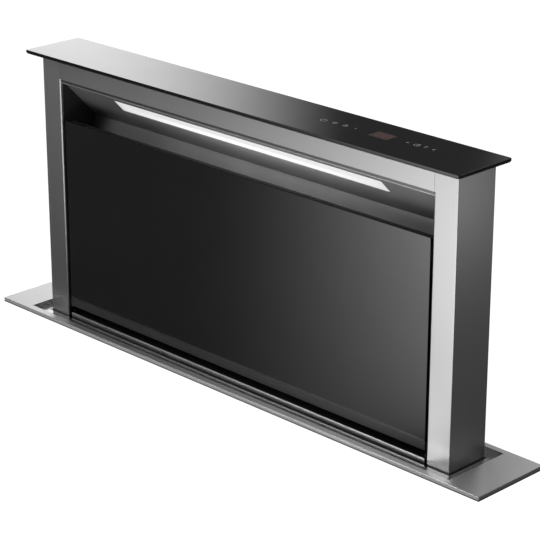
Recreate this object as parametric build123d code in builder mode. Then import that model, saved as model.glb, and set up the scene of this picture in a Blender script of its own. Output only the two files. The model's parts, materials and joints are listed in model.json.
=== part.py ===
from build123d import *

import os
from math import atan2, cos, sin

os.makedirs("parts", exist_ok=True)

# Pop-up downdraft hood, drawn raised. X runs along its length, -Y faces the cook and +Z is up.
# The origin is the centre of the face that rests on the worktop. All sizes are in millimetres.

# Worktop plate with its sunk tray
plate_half_length = 450
plate_half_depth = 61
plate_top = 6
plate_corner = 2
plate_bevel = 0.8
gasket_height = 1.6
sheet = 1.2
tray_half_length = 395.5
tray_depth_span = (-50.5, 51.5)
tray_floor = -1
mouth_half_length = 379.5
mouth_depth_span = (-31.5, 39.5)

# Moving tower
travel = 380
tower_front = -29
tower_depth = 66
tower_half_length = 377
tower_foot = -90
tower_top = 381
column_width = 36.5
column_lip = 4
liner_inset = 0.5
seam = 0.3

# Glass cap
cap_half_length = 392
cap_depth_span = (-47, 48)
cap_glass_height = 4
cap_carrier_height = 1
cap_corner = 2.5

# Light and baffle, as depth behind the tower front and height
baffle_nose = (2.05, 344.5)
baffle_shoulder = (6.7, 344.5)
baffle_crease = (62, 287.5)
baffle_hem = 1.7
diffuser_start = 11.3
diffuser_end = 34.8
diffuser_half_length = 244

# Tilting glass panel
panel_half_length = 335.5
panel_span = (16, 291.5)
panel_front = 2
panel_glass_thickness = 4
pan_inset = 2.5
pan_depth = 10.5
panel_pivot = (10, 20)
panel_pin = 5

# Grease filters
filter_span = (2, 336)
filter_depth_span = (27, 36)
filter_height_span = (29, 252)
filter_border = 10
latch_border = 20
latch_travel = 5

# Casing under the worktop
casing_half_length = 386
casing_depth_span = (-37, 45)
casing_wall = 1
casing_floor_span = (-532, -530)
casing_top = tray_floor - sheet
worktop_cutout_half_length = 403
worktop_cutout_span = (-54.5, 55.5)

# Guides and lift
post_side_span = (346, 361.5)
post_depth_span = (4, 36)
rail_length = 385
rail_gap = 0.6
actuator_side = 357.5
actuator_depth = 50.5
actuator_tube = 24
push_tube = 18
lead_screw_size = 10
motor_span = (-520, -450)
actuator_top = -35
nut_span = (-65, -45)
push_tube_top = 360

# Blower
blower_half_length = 215
blower_depth_span = (-290, -37)
blower_height_span = (-520, -245)
fan_centre = (-40, -400)
fan_radius = 90
fan_depth_span = (-174, -100)
scroll_depth_span = (-178.5, -97)
scroll_radius = 103
scroll_step = 12
scroll_wall = 1.5
scroll_mouth_half_height = 65
scroll_mouth_end = 140
blade_count = 36
duct_radius = 74.75
duct_wall = 1.25
duct_centre = (-137.75, -332)
duct_span = (190, 275)
flap_pin_side = 200
flap_pin_radius = 1.5

# Running clearance between a shaft and its hole, on the radius
running = 0.05

front_plane = Plane(origin=(0, tower_front, 0), x_dir=(0, 1, 0), z_dir=(1, 0, 0))


def both(half_length):
    """The span from minus half_length to plus half_length."""
    return (-half_length, half_length)


def about(centre, half_length):
    """The span around centre."""
    return (centre - half_length, centre + half_length)


def deep(near, far):
    """A span of depth behind the tower front, as world Y."""
    return (tower_front + near, tower_front + far)


def on_side(side, near, far):
    """A span of length on the left (-1) or right (1) half."""
    return tuple(sorted((side * near, side * far)))


def inset(span, amount):
    """The span made shorter by amount at each end."""
    return (span[0] + amount, span[1] - amount)


def block(x, y, z, mode=Mode.ADD):
    """A rectangular block that fills three spans."""
    with BuildSketch(Plane.XY.offset(z[0])) as profile:
        with Locations(((x[0] + x[1]) / 2, (y[0] + y[1]) / 2)):
            Rectangle(x[1] - x[0], y[1] - y[0])
    extrude(profile.sketch, amount=z[1] - z[0], mode=mode)


def upright_rod(centre, radius, z, mode=Mode.ADD):
    """A round rod along Z through an (x, y) centre."""
    with BuildSketch(Plane.XY.offset(z[0])) as profile:
        with Locations(centre):
            Circle(radius)
    extrude(profile.sketch, amount=z[1] - z[0], mode=mode)


def facing_disc(centre, radius, y, mode=Mode.ADD):
    """A round disc along Y through an (x, z) centre."""
    with BuildSketch(Plane(origin=(0, y[0], 0), x_dir=(-1, 0, 0), z_dir=(0, 1, 0))) as profile:
        with Locations((-centre[0], centre[1])):
            Circle(radius)
    extrude(profile.sketch, amount=y[1] - y[0], mode=mode)


def lying_rod(centre, radius, x, mode=Mode.ADD):
    """A round rod along X through a (y, z) centre."""
    with BuildSketch(Plane.YZ.offset(x[0])) as profile:
        with Locations(centre):
            Circle(radius)
    extrude(profile.sketch, amount=x[1] - x[0], mode=mode)


def folded(points, thickness, half_length):
    """A folded sheet whose seen face follows (depth, height) points, with its metal to their left."""
    with BuildSketch(front_plane) as profile:
        with BuildLine():
            Polyline(*points)
            offset(amount=thickness, side=Side.LEFT, kind=Kind.INTERSECTION)
        make_face()
    extrude(profile.sketch, amount=half_length, both=True)


# Worktop plate: a folded stainless sheet with a tray that takes the lowered cap
with BuildPart() as worktop_plate:
    block(both(plate_half_length), both(plate_half_depth), (gasket_height, plate_top))
    fillet(worktop_plate.edges().filter_by(Axis.Z), plate_corner)
    chamfer(worktop_plate.faces().sort_by(Axis.Z)[-1].edges(), plate_bevel)
    block(both(plate_half_length - sheet), both(plate_half_depth - sheet),
          (gasket_height, plate_top - sheet), Mode.SUBTRACT)
    block(both(tray_half_length + sheet), inset(tray_depth_span, -sheet),
          (tray_floor - sheet, plate_top - sheet))
    block(both(tray_half_length), tray_depth_span, (tray_floor, plate_top), Mode.SUBTRACT)
    block(both(mouth_half_length), mouth_depth_span, (tray_floor - sheet, tray_floor), Mode.SUBTRACT)
worktop_plate.part.label = "worktop_plate"

# Gasket: foam under the plate's edge, stepped up inside its fold
gasket_inset = 0.5
gasket_step = 1.3
with BuildPart() as worktop_gasket:
    block(both(plate_half_length - gasket_inset), both(plate_half_depth - gasket_inset), (0, gasket_height))
    block(both(plate_half_length - gasket_step), both(plate_half_depth - gasket_step),
          (gasket_height, plate_top - sheet))
    block(both(worktop_cutout_half_length), worktop_cutout_span, (0, plate_top - sheet), Mode.SUBTRACT)
worktop_gasket.part.label = "worktop_gasket"

# Seal: a rubber frame under the tray that wipes the tower
seal_height = 2
seal_gap = 0.6
seal_outer_half_length = 384
seal_outer_span = (-35, 43)
with BuildPart() as tower_seal:
    block(both(seal_outer_half_length), seal_outer_span, (casing_top - seal_height, casing_top))
    block(both(tower_half_length + seal_gap), inset(deep(0, tower_depth), -seal_gap),
          (casing_top - seal_height, casing_top), Mode.SUBTRACT)
tower_seal.part.label = "tower_seal"

# Casing: front, rear and side sheets with flanges under the tray, on a thicker floor
casing_height = (casing_floor_span[1], casing_top)
flange_height = (casing_top - casing_wall, casing_top)
front_flange_span = (-49, casing_depth_span[0])
rear_flange_span = (casing_depth_span[1], 53)
side_flange_reach = 10
blower_window_half_length = 205
blower_window_span = (-512, -253)
blower_flange = 10
screw_size = 4
screw_clearance = 0.15
screw_hole_radius = screw_size / 2 + screw_clearance
screw_rows = (-525, -240)
screw_columns = (-200, -70, 70, 200)
screw_places = [(x, z) for x in screw_columns for z in screw_rows]
with BuildPart() as casing_front:
    block(both(casing_half_length), (casing_depth_span[0], casing_depth_span[0] + casing_wall), casing_height)
    block(both(casing_half_length), front_flange_span, flange_height)
    block(both(blower_window_half_length), (casing_depth_span[0], casing_depth_span[0] + casing_wall),
          blower_window_span, Mode.SUBTRACT)
    for place in screw_places:
        facing_disc(place, screw_hole_radius, (casing_depth_span[0], casing_depth_span[0] + casing_wall),
                    Mode.SUBTRACT)
casing_front.part.label = "casing_front"

with BuildPart() as casing_rear:
    block(both(casing_half_length), (casing_depth_span[1] - casing_wall, casing_depth_span[1]), casing_height)
    block(both(casing_half_length), rear_flange_span, flange_height)
casing_rear.part.label = "casing_rear"

with BuildPart() as casing_sides:
    for side in (-1, 1):
        block(on_side(side, casing_half_length - casing_wall, casing_half_length),
              inset(casing_depth_span, casing_wall), casing_height)
        block(on_side(side, casing_half_length, casing_half_length + side_flange_reach),
              inset(casing_depth_span, casing_wall), flange_height)
casing_sides.part.label = "casing_sides"

with BuildPart() as casing_floor:
    block(both(casing_half_length), casing_depth_span, casing_floor_span)
casing_floor.part.label = "casing_floor"

# Guide posts: two square tubes that stand on the floor inside the tower's hollow columns
post_span = (casing_floor_span[1], -78)
post_wall = 2
with BuildPart() as guide_posts:
    for side in (-1, 1):
        block(on_side(side, *post_side_span), deep(*post_depth_span), post_span)
        block(inset(on_side(side, *post_side_span), post_wall), inset(deep(*post_depth_span), post_wall),
              post_span, Mode.SUBTRACT)
guide_posts.part.label = "guide_posts"


# Telescopic rails: a fixed, a middle and a moving channel on each side, nested with room to run
def channels(web, lip_end, depth, z, wall):
    """A left and a right channel: web is the web's side span, and the lips reach to lip_end."""
    for side in (-1, 1):
        block(on_side(side, *web), deep(*depth), z)
        for edge in ((depth[0], depth[0] + wall), (depth[1] - wall, depth[1])):
            block(on_side(side, sum(web) / 2, lip_end), deep(*edge), z)


fixed_rail_wall = 1.2
inner_rail_wall = 1
rail_depth = (3, 37)
fixed_rail_lip = 372.5
fixed_rail_low = -465
with BuildPart() as fixed_rails:
    channels((post_side_span[1], post_side_span[1] + fixed_rail_wall), fixed_rail_lip, rail_depth,
             (fixed_rail_low, fixed_rail_low + rail_length), fixed_rail_wall)
fixed_rails.part.label = "fixed_rails"

mid_rail_depth = inset(rail_depth, fixed_rail_wall + rail_gap)
mid_rail_web = (363.5, 364.5)
mid_rail_lip = 371.5
mid_rail_low = fixed_rail_low + travel / 2
with BuildPart() as mid_rails:
    channels(mid_rail_web, mid_rail_lip, mid_rail_depth, (mid_rail_low, mid_rail_low + rail_length),
             inner_rail_wall)
mid_rails.part.label = "mid_rails"

moving_rail_depth = inset(mid_rail_depth, inner_rail_wall + rail_gap)
moving_rail_lip = 365.5
moving_rail_low = fixed_rail_low + travel
column_web = tower_half_length - sheet
with BuildPart() as moving_rails:
    channels((column_web - inner_rail_wall, column_web), moving_rail_lip, moving_rail_depth,
             (moving_rail_low, moving_rail_low + rail_length), inner_rail_wall)
moving_rails.part.label = "moving_rails"

# Lift: a motor turns a screw in each column, and the screw pushes a tube with a nut
actuator_y = tower_front + actuator_depth
actuator_bore = 10
wiper_height = 5
wiper_clearance = 0.1
wiper_span = (actuator_top - wiper_height, actuator_top)
with BuildPart() as actuator_tubes:
    for side in (-1, 1):
        centre = (side * actuator_side, actuator_y)
        upright_rod(centre, actuator_tube / 2, (motor_span[1], actuator_top))
        upright_rod(centre, actuator_bore, (motor_span[1], wiper_span[0]), Mode.SUBTRACT)
        upright_rod(centre, push_tube / 2 + wiper_clearance, wiper_span, Mode.SUBTRACT)
actuator_tubes.part.label = "actuator_tubes"

motor_foot = 20
with BuildPart() as lift_motors:
    for side in (-1, 1):
        centre = (side * actuator_side, actuator_y)
        upright_rod(centre, actuator_tube / 2, motor_span)
        block(about(centre[0], motor_foot / 2), about(actuator_y, motor_foot / 2),
              (casing_floor_span[1], motor_span[0]))
lift_motors.part.label = "lift_motors"

screw_end_gap = 0.5
lead_screw_span = (motor_span[1] + screw_end_gap, -42)


def lead_screw(side, label):
    with BuildPart() as screw:
        upright_rod((side * actuator_side, actuator_y), lead_screw_size / 2, lead_screw_span)
        chamfer(screw.edges().filter_by(GeomType.CIRCLE), sheet)
    screw.part.label = label
    return screw


left_lead_screw = lead_screw(-1, "left_lead_screw")
right_lead_screw = lead_screw(1, "right_lead_screw")

push_tube_bore = 6
push_tube_cap = 5
with BuildPart() as push_tubes:
    for side in (-1, 1):
        centre = (side * actuator_side, actuator_y)
        upright_rod(centre, push_tube / 2, (nut_span[0], push_tube_top))
        upright_rod(centre, push_tube_bore, (nut_span[1], push_tube_top - push_tube_cap), Mode.SUBTRACT)
        upright_rod(centre, lead_screw_size / 2 + running, nut_span, Mode.SUBTRACT)
push_tubes.part.label = "push_tubes"

lift_bracket_side = (343, 375.6)
lift_bracket_depth = (38, 64.6)
lift_tab_depth = (62.6, 64.6)
lift_bracket_top = push_tube_top + 4
lift_bracket_low = lift_bracket_top - 34
with BuildPart() as lift_brackets:
    for side in (-1, 1):
        block(on_side(side, *lift_bracket_side), deep(*lift_bracket_depth), (push_tube_top, lift_bracket_top))
        block(on_side(side, *lift_bracket_side), deep(*lift_tab_depth), (lift_bracket_low, lift_bracket_top))
lift_brackets.part.label = "lift_brackets"

limit_switch_side = (379, 385)
limit_switch_depth = (-5, 15)
limit_switch_heights = ((-112, -96), (-486, -470))
with BuildPart() as limit_switches:
    for height in limit_switch_heights:
        block(limit_switch_side, limit_switch_depth, height)
limit_switches.part.label = "limit_switches"

# Worktop clamps: four brackets on the casing with jacking screws under the worktop
clamp_side = 250
clamp_half_width = 15
clamp_wall = 2
clamp_height = (-90, -45)
clamp_reach = 41
clamp_screw_radius = 3
clamp_screw_reach = 31
clamp_screw_span = (-62, -43)
clamp_pad_radius = 7
clamp_pad_span = (-43, -41)
with BuildPart() as worktop_clamps:
    for x in (-clamp_side, clamp_side):
        for face, out in ((casing_depth_span[0], -1), (casing_depth_span[1], 1)):
            width = about(x, clamp_half_width)
            screw_centre = (x, face + out * clamp_screw_reach)
            block(width, tuple(sorted((face, face + out * clamp_wall))), clamp_height)
            block(width, tuple(sorted((face, face + out * clamp_reach))),
                  (clamp_height[1] - clamp_wall, clamp_height[1]))
            upright_rod(screw_centre, clamp_screw_radius + screw_clearance,
                        (clamp_height[1] - clamp_wall, clamp_height[1]), Mode.SUBTRACT)
            upright_rod(screw_centre, clamp_screw_radius, clamp_screw_span)
            upright_rod(screw_centre, clamp_pad_radius, clamp_pad_span)
worktop_clamps.part.label = "worktop_clamps"

# Support legs: brackets beside the casing with slotted feet for the cabinet floor
leg_side = (casing_half_length, 426)
leg_wall = 2
leg_depth_span = (-21, 29)
leg_foot = casing_floor_span[0]
leg_top = -452
leg_slot_side = 407
leg_slot_spacing = 30
leg_slot_length = 20
leg_slot_width = 7
with BuildPart() as support_legs:
    for side in (-1, 1):
        block(on_side(side, leg_side[0], leg_side[0] + leg_wall), leg_depth_span, (leg_foot, leg_top))
        block(on_side(side, *leg_side), leg_depth_span, (leg_foot, leg_foot + leg_wall))
        with BuildSketch(Plane.XY.offset(leg_foot)):
            with Locations((side * leg_slot_side, sum(leg_depth_span) / 2)):
                with GridLocations(0, leg_slot_spacing, 1, 2):
                    SlotOverall(leg_slot_length, leg_slot_width)
        extrude(amount=leg_wall, mode=Mode.SUBTRACT)
support_legs.part.label = "support_legs"

# Blower box: a sheet tube in front of the casing, screwed over its window
collar_hole_radius = duct_radius + 0.25
blower_back = blower_depth_span[1]
with BuildPart() as blower_box:
    block(both(blower_half_length), blower_depth_span, blower_height_span)
    block(both(blower_half_length + blower_flange), (blower_back - sheet, blower_back),
          inset(blower_height_span, -blower_flange))
    block(both(blower_half_length - sheet), blower_depth_span, inset(blower_height_span, sheet),
          Mode.SUBTRACT)
    lying_rod(duct_centre, collar_hole_radius, (blower_half_length - sheet, blower_half_length),
              Mode.SUBTRACT)
    for place in screw_places:
        facing_disc(place, screw_hole_radius, (blower_back - sheet, blower_back), Mode.SUBTRACT)
blower_box.part.label = "blower_box"

cover_face = blower_depth_span[0] - sheet
cover_lip_half_length = 40
cover_lip_reach = 8.4
with BuildPart() as blower_cover:
    block(both(blower_half_length), (cover_face, blower_depth_span[0]), blower_height_span)
    block(both(cover_lip_half_length), (cover_face - cover_lip_reach, cover_face),
          (blower_height_span[1] - 2 * sheet, blower_height_span[1] - sheet))
blower_cover.part.label = "blower_cover"

screw_head_radius = 3.5
screw_head_height = 2.4
screw_reach = 5
with BuildPart() as blower_screws:
    for place in screw_places:
        head_face = blower_back - sheet
        facing_disc(place, screw_head_radius, (head_face - screw_head_height, head_face))
        facing_disc(place, screw_size / 2, (head_face, head_face + screw_reach))
blower_screws.part.label = "blower_screws"


# Fan scroll: three quarter turns of growing radius, then a straight mouth towards +X
def scroll_prism(extra, y, mode=Mode.ADD):
    """The scroll's outline, grown by extra, from the higher y to the lower one."""
    x, z = fan_centre
    half = scroll_step / 2
    first = scroll_radius + extra
    radii = [first, first + scroll_step, first + 2 * scroll_step]
    centres = [(x - half, z - half), (x - half, z + half), (x + half, z + half)]
    mouth_low = z + half + radii[2] - extra - 2 * scroll_mouth_half_height - extra
    right = Vector(centres[0][0] + radii[0], centres[0][1])
    top = Vector(centres[2][0], centres[2][1] + radii[2])
    with BuildSketch(Plane.XZ.offset(-y[1])) as profile:
        with BuildLine():
            CenterArc(centres[0], radii[0], 270, 90)
            CenterArc(centres[1], radii[1], 180, 90)
            CenterArc(centres[2], radii[2], 90, 90)
            Polyline(top, (scroll_mouth_end, top.Y), (scroll_mouth_end, mouth_low),
                     (right.X, mouth_low), right)
        make_face()
    extrude(profile.sketch, amount=y[1] - y[0], mode=mode)


inlet_radius = 76
shaft_hole_radius = 12
with BuildPart() as fan_scroll:
    scroll_prism(scroll_wall, scroll_depth_span)
    scroll_prism(0, inset(scroll_depth_span, scroll_wall), Mode.SUBTRACT)
    facing_disc(fan_centre, inlet_radius, (scroll_depth_span[1] - scroll_wall, scroll_depth_span[1]),
                Mode.SUBTRACT)
    facing_disc(fan_centre, shaft_hole_radius, (scroll_depth_span[0], scroll_depth_span[0] + scroll_wall),
                Mode.SUBTRACT)
    block(about(scroll_mouth_end, scroll_wall), inset(scroll_depth_span, scroll_wall),
          about(duct_centre[1], scroll_mouth_half_height), Mode.SUBTRACT)
fan_scroll.part.label = "fan_scroll"

# Inlet ring: a bellmouth on the scroll's rear wall
bell_height = 9
bell_radius = 88
ring_wall = 2
with BuildPart() as inlet_ring:
    with BuildSketch(Plane(origin=(fan_centre[0], scroll_depth_span[1], fan_centre[1]),
                           x_dir=(1, 0, 0), z_dir=(0, 0, 1))):
        with BuildLine():
            Polyline((inlet_radius, 0), (bell_radius, bell_height), (bell_radius, bell_height - ring_wall),
                     (inlet_radius + ring_wall, 0), (inlet_radius, 0))
        make_face()
    revolve(axis=Axis((fan_centre[0], 0, fan_centre[1]), (0, 1, 0)))
inlet_ring.part.label = "inlet_ring"

# Impeller: a back plate, forward-curved blades, a front ring and its shaft
blade_length = 22
blade_thickness = 1.2
blade_tilt = 30
blade_circle = 78
ring_width = 8
ring_height = 4
back_plate_thickness = 2
hub_radius = 14
hub_front = -130
shaft_radius = 4
shaft_span = (-245, -120)
with BuildPart() as impeller:
    front_ring_span = (fan_depth_span[1] - ring_height, fan_depth_span[1])
    facing_disc(fan_centre, fan_radius, front_ring_span)
    facing_disc(fan_centre, fan_radius - ring_width, front_ring_span, Mode.SUBTRACT)
    with BuildSketch(Plane.XZ.offset(-fan_depth_span[1])):
        with Locations(fan_centre):
            with PolarLocations(blade_circle, blade_count):
                Rectangle(blade_length, blade_thickness, rotation=blade_tilt)
    extrude(amount=fan_depth_span[1] - fan_depth_span[0])
    facing_disc(fan_centre, fan_radius, (fan_depth_span[0], fan_depth_span[0] + back_plate_thickness))
    facing_disc(fan_centre, hub_radius, (fan_depth_span[0], hub_front))
    facing_disc(fan_centre, shaft_radius, shaft_span)
impeller.part.label = "impeller"

# Fan motor: a can with a flange on the scroll's front wall and a bore for the shaft
motor_flange_radius = 55
motor_radius = 40
motor_flange_thickness = 4
motor_edge = 6
fan_motor_front = -262
motor_bore_end = -250
with BuildPart() as fan_motor:
    facing_disc(fan_centre, motor_flange_radius, 
                (scroll_depth_span[0] - motor_flange_thickness, scroll_depth_span[0]))
    facing_disc(fan_centre, motor_radius, (fan_motor_front, scroll_depth_span[0]))
    fillet(fan_motor.faces().sort_by(Axis.Y)[0].edges(), motor_edge)
    facing_disc(fan_centre, shaft_radius + running, (motor_bore_end, scroll_depth_span[0]), Mode.SUBTRACT)
fan_motor.part.label = "fan_motor"


# Outlet collar: the scroll's square mouth turns round and becomes a duct spigot
mouth_corner = 5


def mouth_loft(side_start, shrink, mode=Mode.ADD):
    """A square-to-round passage, from the scroll's mouth to the start of the spigot."""
    mouth_depth = scroll_depth_span[1] - scroll_depth_span[0]
    mouth_height = 2 * (scroll_mouth_half_height + scroll_wall)
    with BuildSketch(Plane.YZ.offset(side_start)) as square:
        with Locations(duct_centre):
            RectangleRounded(mouth_depth - 2 * shrink, mouth_height - 2 * shrink, mouth_corner)
    with BuildSketch(Plane.YZ.offset(duct_span[0])) as round_end:
        with Locations(duct_centre):
            Circle(duct_radius - shrink)
    loft([square.sketch, round_end.sketch], mode=mode)


collar_flange_radius = 83
with BuildPart() as outlet_collar:
    mouth_loft(scroll_mouth_end, 0)
    lying_rod(duct_centre, duct_radius, duct_span)
    lying_rod(duct_centre, collar_flange_radius, (blower_half_length, blower_half_length + scroll_wall))
    mouth_loft(scroll_mouth_end, scroll_wall, Mode.SUBTRACT)
    lying_rod(duct_centre, duct_radius - duct_wall, duct_span, Mode.SUBTRACT)
    upright_rod((flap_pin_side, duct_centre[0]), flap_pin_radius,
                (duct_centre[1] - duct_radius + duct_wall / 2, duct_centre[1] + duct_radius - duct_wall / 2))
outlet_collar.part.label = "outlet_collar"

# Damper flaps: two half discs on the collar's upright pin, with interleaved knuckles
flap_radius = 72.5
flap_thickness = 1.5
flap_start = 5
knuckle_radius = 3
knuckle_gap = 0.3
knuckle_length = 30


def damper_flap(out, knuckle_starts, label):
    """A half disc on one side of the pin: out is -1 towards the front and 1 towards the rear."""
    pin_y, pin_z = duct_centre
    with BuildPart() as flap:
        lying_rod(duct_centre, flap_radius,
                  (flap_pin_side - flap_thickness / 2, flap_pin_side + flap_thickness / 2))
        block((flap_pin_side - flap_thickness, flap_pin_side + flap_thickness),
              tuple(sorted((pin_y + out * flap_start, pin_y - out * (flap_radius + 1)))),
              (pin_z - flap_radius - 1, pin_z + flap_radius + 1), Mode.SUBTRACT)
        for start in knuckle_starts:
            height = (pin_z + start + knuckle_gap, pin_z + start + knuckle_length - knuckle_gap)
            upright_rod((flap_pin_side, pin_y), knuckle_radius, height)
            block((flap_pin_side - flap_thickness / 2, flap_pin_side + flap_thickness / 2),
                  tuple(sorted((pin_y, pin_y + out * (flap_start + 1)))), height)
            upright_rod((flap_pin_side, pin_y), flap_pin_radius + running, height, Mode.SUBTRACT)
    flap.part.label = label
    return flap


damper_front_flap = damper_flap(-1, (-2 * knuckle_length, 0), "damper_front_flap")
damper_rear_flap = damper_flap(1, (-knuckle_length, knuckle_length), "damper_rear_flap")

# Electronics: a box on the casing front with its cover, main board and cable gland
box_length_span = (-380, -235)
box_depth_span = (-97, -37)
box_height_span = (-300, -120)
box_wall = 1.5
gland_centre = (-340, -67)
gland_radius = 8
with BuildPart() as electronics_box:
    block(box_length_span, box_depth_span, box_height_span)
    block(inset(box_length_span, box_wall), (box_depth_span[0], box_depth_span[1] - box_wall),
          inset(box_height_span, box_wall), Mode.SUBTRACT)
    upright_rod(gland_centre, gland_radius + screw_clearance,
                (box_height_span[0], box_height_span[0] + box_wall), Mode.SUBTRACT)
electronics_box.part.label = "electronics_box"

cover_corner = 3
with BuildPart() as electronics_cover:
    block(box_length_span, (box_depth_span[0] - box_wall, box_depth_span[0]), box_height_span)
    fillet(electronics_cover.edges().filter_by(Axis.Y), cover_corner)
electronics_cover.part.label = "electronics_cover"

board_thickness = 1.6
board_length_span = (-370, -245)
board_height_span = (-284, -136)
board_face = -55
board_back = board_face + board_thickness
standoff_radius = 3
standoff_inset = 5
transformer = ((-300, -255), (board_face - 30, board_face), (-190, -145))
relay_sides = (-362, -338, -314, -290)
relay_size = 18
relay_depth_span = (board_face - 16, board_face)
relay_height_span = (-275, -250)
capacitors = (((-335, -165), 9, 26), ((-335, -200), 7, 22))
with BuildPart() as main_board:
    block(board_length_span, (board_face, board_back), board_height_span)
    for corner_x in inset(board_length_span, standoff_inset):
        for corner_z in inset(board_height_span, standoff_inset):
            facing_disc((corner_x, corner_z), standoff_radius, (board_back, box_depth_span[1] - box_wall))
    block(*transformer)
    for start in relay_sides:
        block((start, start + relay_size), relay_depth_span, relay_height_span)
    for centre, radius, height in capacitors:
        facing_disc(centre, radius, (board_face - height, board_face))
main_board.part.label = "main_board"

gland_bore_radius = 4.5
gland_nut_radius = 9
gland_hex_radius = 11
gland_hex_height = 6
gland_span = (-322, -290)
gland_hex_low = box_height_span[0] - gland_hex_height
with BuildPart() as cable_gland:
    upright_rod(gland_centre, gland_radius, (box_height_span[0], gland_span[1]))
    upright_rod(gland_centre, gland_nut_radius, (gland_span[0], gland_hex_low))
    with BuildSketch(Plane.XY.offset(gland_hex_low)):
        with Locations(gland_centre):
            RegularPolygon(gland_hex_radius, side_count=6)
    extrude(amount=gland_hex_height)
    upright_rod(gland_centre, gland_bore_radius, gland_span, Mode.SUBTRACT)
cable_gland.part.label = "cable_gland"

# Cap: black glass on a thin carrier, with the touch board and display under it
cap_glass_low = tower_top + cap_carrier_height
cap_top = cap_glass_low + cap_glass_height
glass_bevel = 0.5
with BuildPart() as cap_glass:
    block(both(cap_half_length), cap_depth_span, (cap_glass_low, cap_top))
    fillet(cap_glass.edges().filter_by(Axis.Z), cap_corner)
    chamfer(cap_glass.faces().sort_by(Axis.Z)[-1].edges(), glass_bevel)
cap_glass.part.label = "cap_glass"

carrier_inset = 0.8
touch_window = ((110, 330), (-12, 22))
with BuildPart() as cap_carrier:
    block(both(cap_half_length - carrier_inset), inset(cap_depth_span, carrier_inset),
          (tower_top, cap_glass_low))
    fillet(cap_carrier.edges().filter_by(Axis.Z), cap_corner)
    block(*touch_window, (tower_top, cap_glass_low), Mode.SUBTRACT)
cap_carrier.part.label = "cap_carrier"

board_top = 375.6
touch_board_span = ((105, 335), (-14, 24))
touch_pad_radius = 3.5
touch_pads = ((132.7, 2), (150.6, 3), (167.5, 3.6), (184.6, 3.6),
              (266.6, 6), (281.4, 6.2), (295, 8), (308, 8))
with BuildPart() as touch_board:
    block(*touch_board_span, (board_top - board_thickness, board_top))
    for pad in touch_pads:
        upright_rod(pad, touch_pad_radius, (board_top, cap_glass_low))
touch_board.part.label = "touch_board"

display_span = ((205, 252), (-7, 17))
with BuildPart() as display_module:
    block(*display_span, (board_top, cap_glass_low))
display_module.part.label = "display_module"


# Columns: hollow stainless channels that open towards each other, rounded beside the opening
column_edge = 1
column_bend = 2
column_inner = tower_half_length - column_width
beam_lower_edge = 350.3


def front_corner(part, end):
    """The upright front edge at one end of a part: 0 is low X and -1 is high X."""
    return part.edges().filter_by(Axis.Z).group_by(Axis.Y)[0].sort_by(Axis.X)[end]


def column(side, label):
    outer_end, inner_end = (-1, 0) if side > 0 else (0, -1)
    with BuildPart() as channel:
        with BuildPart(mode=Mode.PRIVATE) as beside_opening:
            block(on_side(side, column_inner, tower_half_length), deep(0, tower_depth),
                  (tower_foot, beam_lower_edge))
            fillet(front_corner(beside_opening, outer_end), column_edge)
            fillet(front_corner(beside_opening, inner_end), column_bend)
        with BuildPart(mode=Mode.PRIVATE) as beside_beam:
            block(on_side(side, column_inner, tower_half_length), deep(0, tower_depth),
                  (beam_lower_edge, tower_top))
            fillet(front_corner(beside_beam, outer_end), column_edge)
        add(beside_opening.part)
        add(beside_beam.part)
        block(on_side(side, column_inner + sheet, tower_half_length - sheet),
              deep(sheet, tower_depth - sheet), (tower_foot, tower_top), Mode.SUBTRACT)
        block(on_side(side, column_inner, column_inner + sheet), deep(column_lip, tower_depth - column_lip),
              (tower_foot, tower_top), Mode.SUBTRACT)
    channel.part.label = label
    return channel


left_column = column(-1, "left_column")
right_column = column(1, "right_column")

liner_side = (column_inner + liner_inset, column_inner + liner_inset + sheet)
with BuildPart() as column_liners:
    for side in (-1, 1):
        block(on_side(side, *liner_side), deep(column_lip, tower_depth - column_lip), (tower_foot, tower_top))
column_liners.part.label = "column_liners"

# Front beam: the stainless face over the opening, stepped back along its lower edge
beam_half_length = column_inner - seam
beam_points = ((8, tower_top), (0, tower_top), (0, beam_lower_edge), (0.6, 349.9), (1.7, 346.2))
with BuildPart() as front_beam:
    folded(beam_points, sheet, beam_half_length)
front_beam.part.label = "front_beam"

# Light baffle: a hemmed black sheet that slopes back and down, with a window for the lamp
baffle_half_length = 340.4
slope_angle = atan2(baffle_shoulder[1] - baffle_crease[1], baffle_crease[0] - baffle_shoulder[0])
slope_plane = Plane(
    origin=(0, tower_front + baffle_shoulder[0], baffle_shoulder[1]),
    x_dir=(1, 0, 0),
    z_dir=(0, -sin(slope_angle), -cos(slope_angle)),
)
diffuser_centre = (0, -(diffuser_start + diffuser_end) / 2)
diffuser_width = diffuser_end - diffuser_start


def on_slope(length, width, low, high, mode=Mode.ADD):
    """A block on the baffle's slope around the lamp: low and high are heights over its seen face."""
    with BuildSketch(slope_plane.offset(low)) as profile:
        with Locations(diffuser_centre):
            Rectangle(length, width)
    extrude(profile.sketch, amount=high - low, mode=mode)


window_gap = 0.6
rear_inner = 64.4
baffle_flange_top = 300
baffle_points = (baffle_nose, baffle_shoulder, baffle_crease, (rear_inner, baffle_crease[1]),
                 (rear_inner, baffle_flange_top))
with BuildPart() as light_baffle:
    folded(baffle_points, sheet, baffle_half_length)
    lying_rod((tower_front + baffle_nose[0], baffle_nose[1] + baffle_hem / 2), baffle_hem / 2,
              both(baffle_half_length))
    on_slope(2 * diffuser_half_length + window_gap, diffuser_width + window_gap, -2 * sheet, sheet,
             Mode.SUBTRACT)
light_baffle.part.label = "light_baffle"

diffuser_flange = 3
diffuser_thickness = 2.2
with BuildPart() as light_diffuser:
    on_slope(2 * diffuser_half_length, diffuser_width, -diffuser_thickness, 0)
    on_slope(2 * (diffuser_half_length + diffuser_flange), diffuser_width + 2 * diffuser_flange,
             -diffuser_thickness, -sheet)
light_diffuser.part.label = "light_diffuser"

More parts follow.
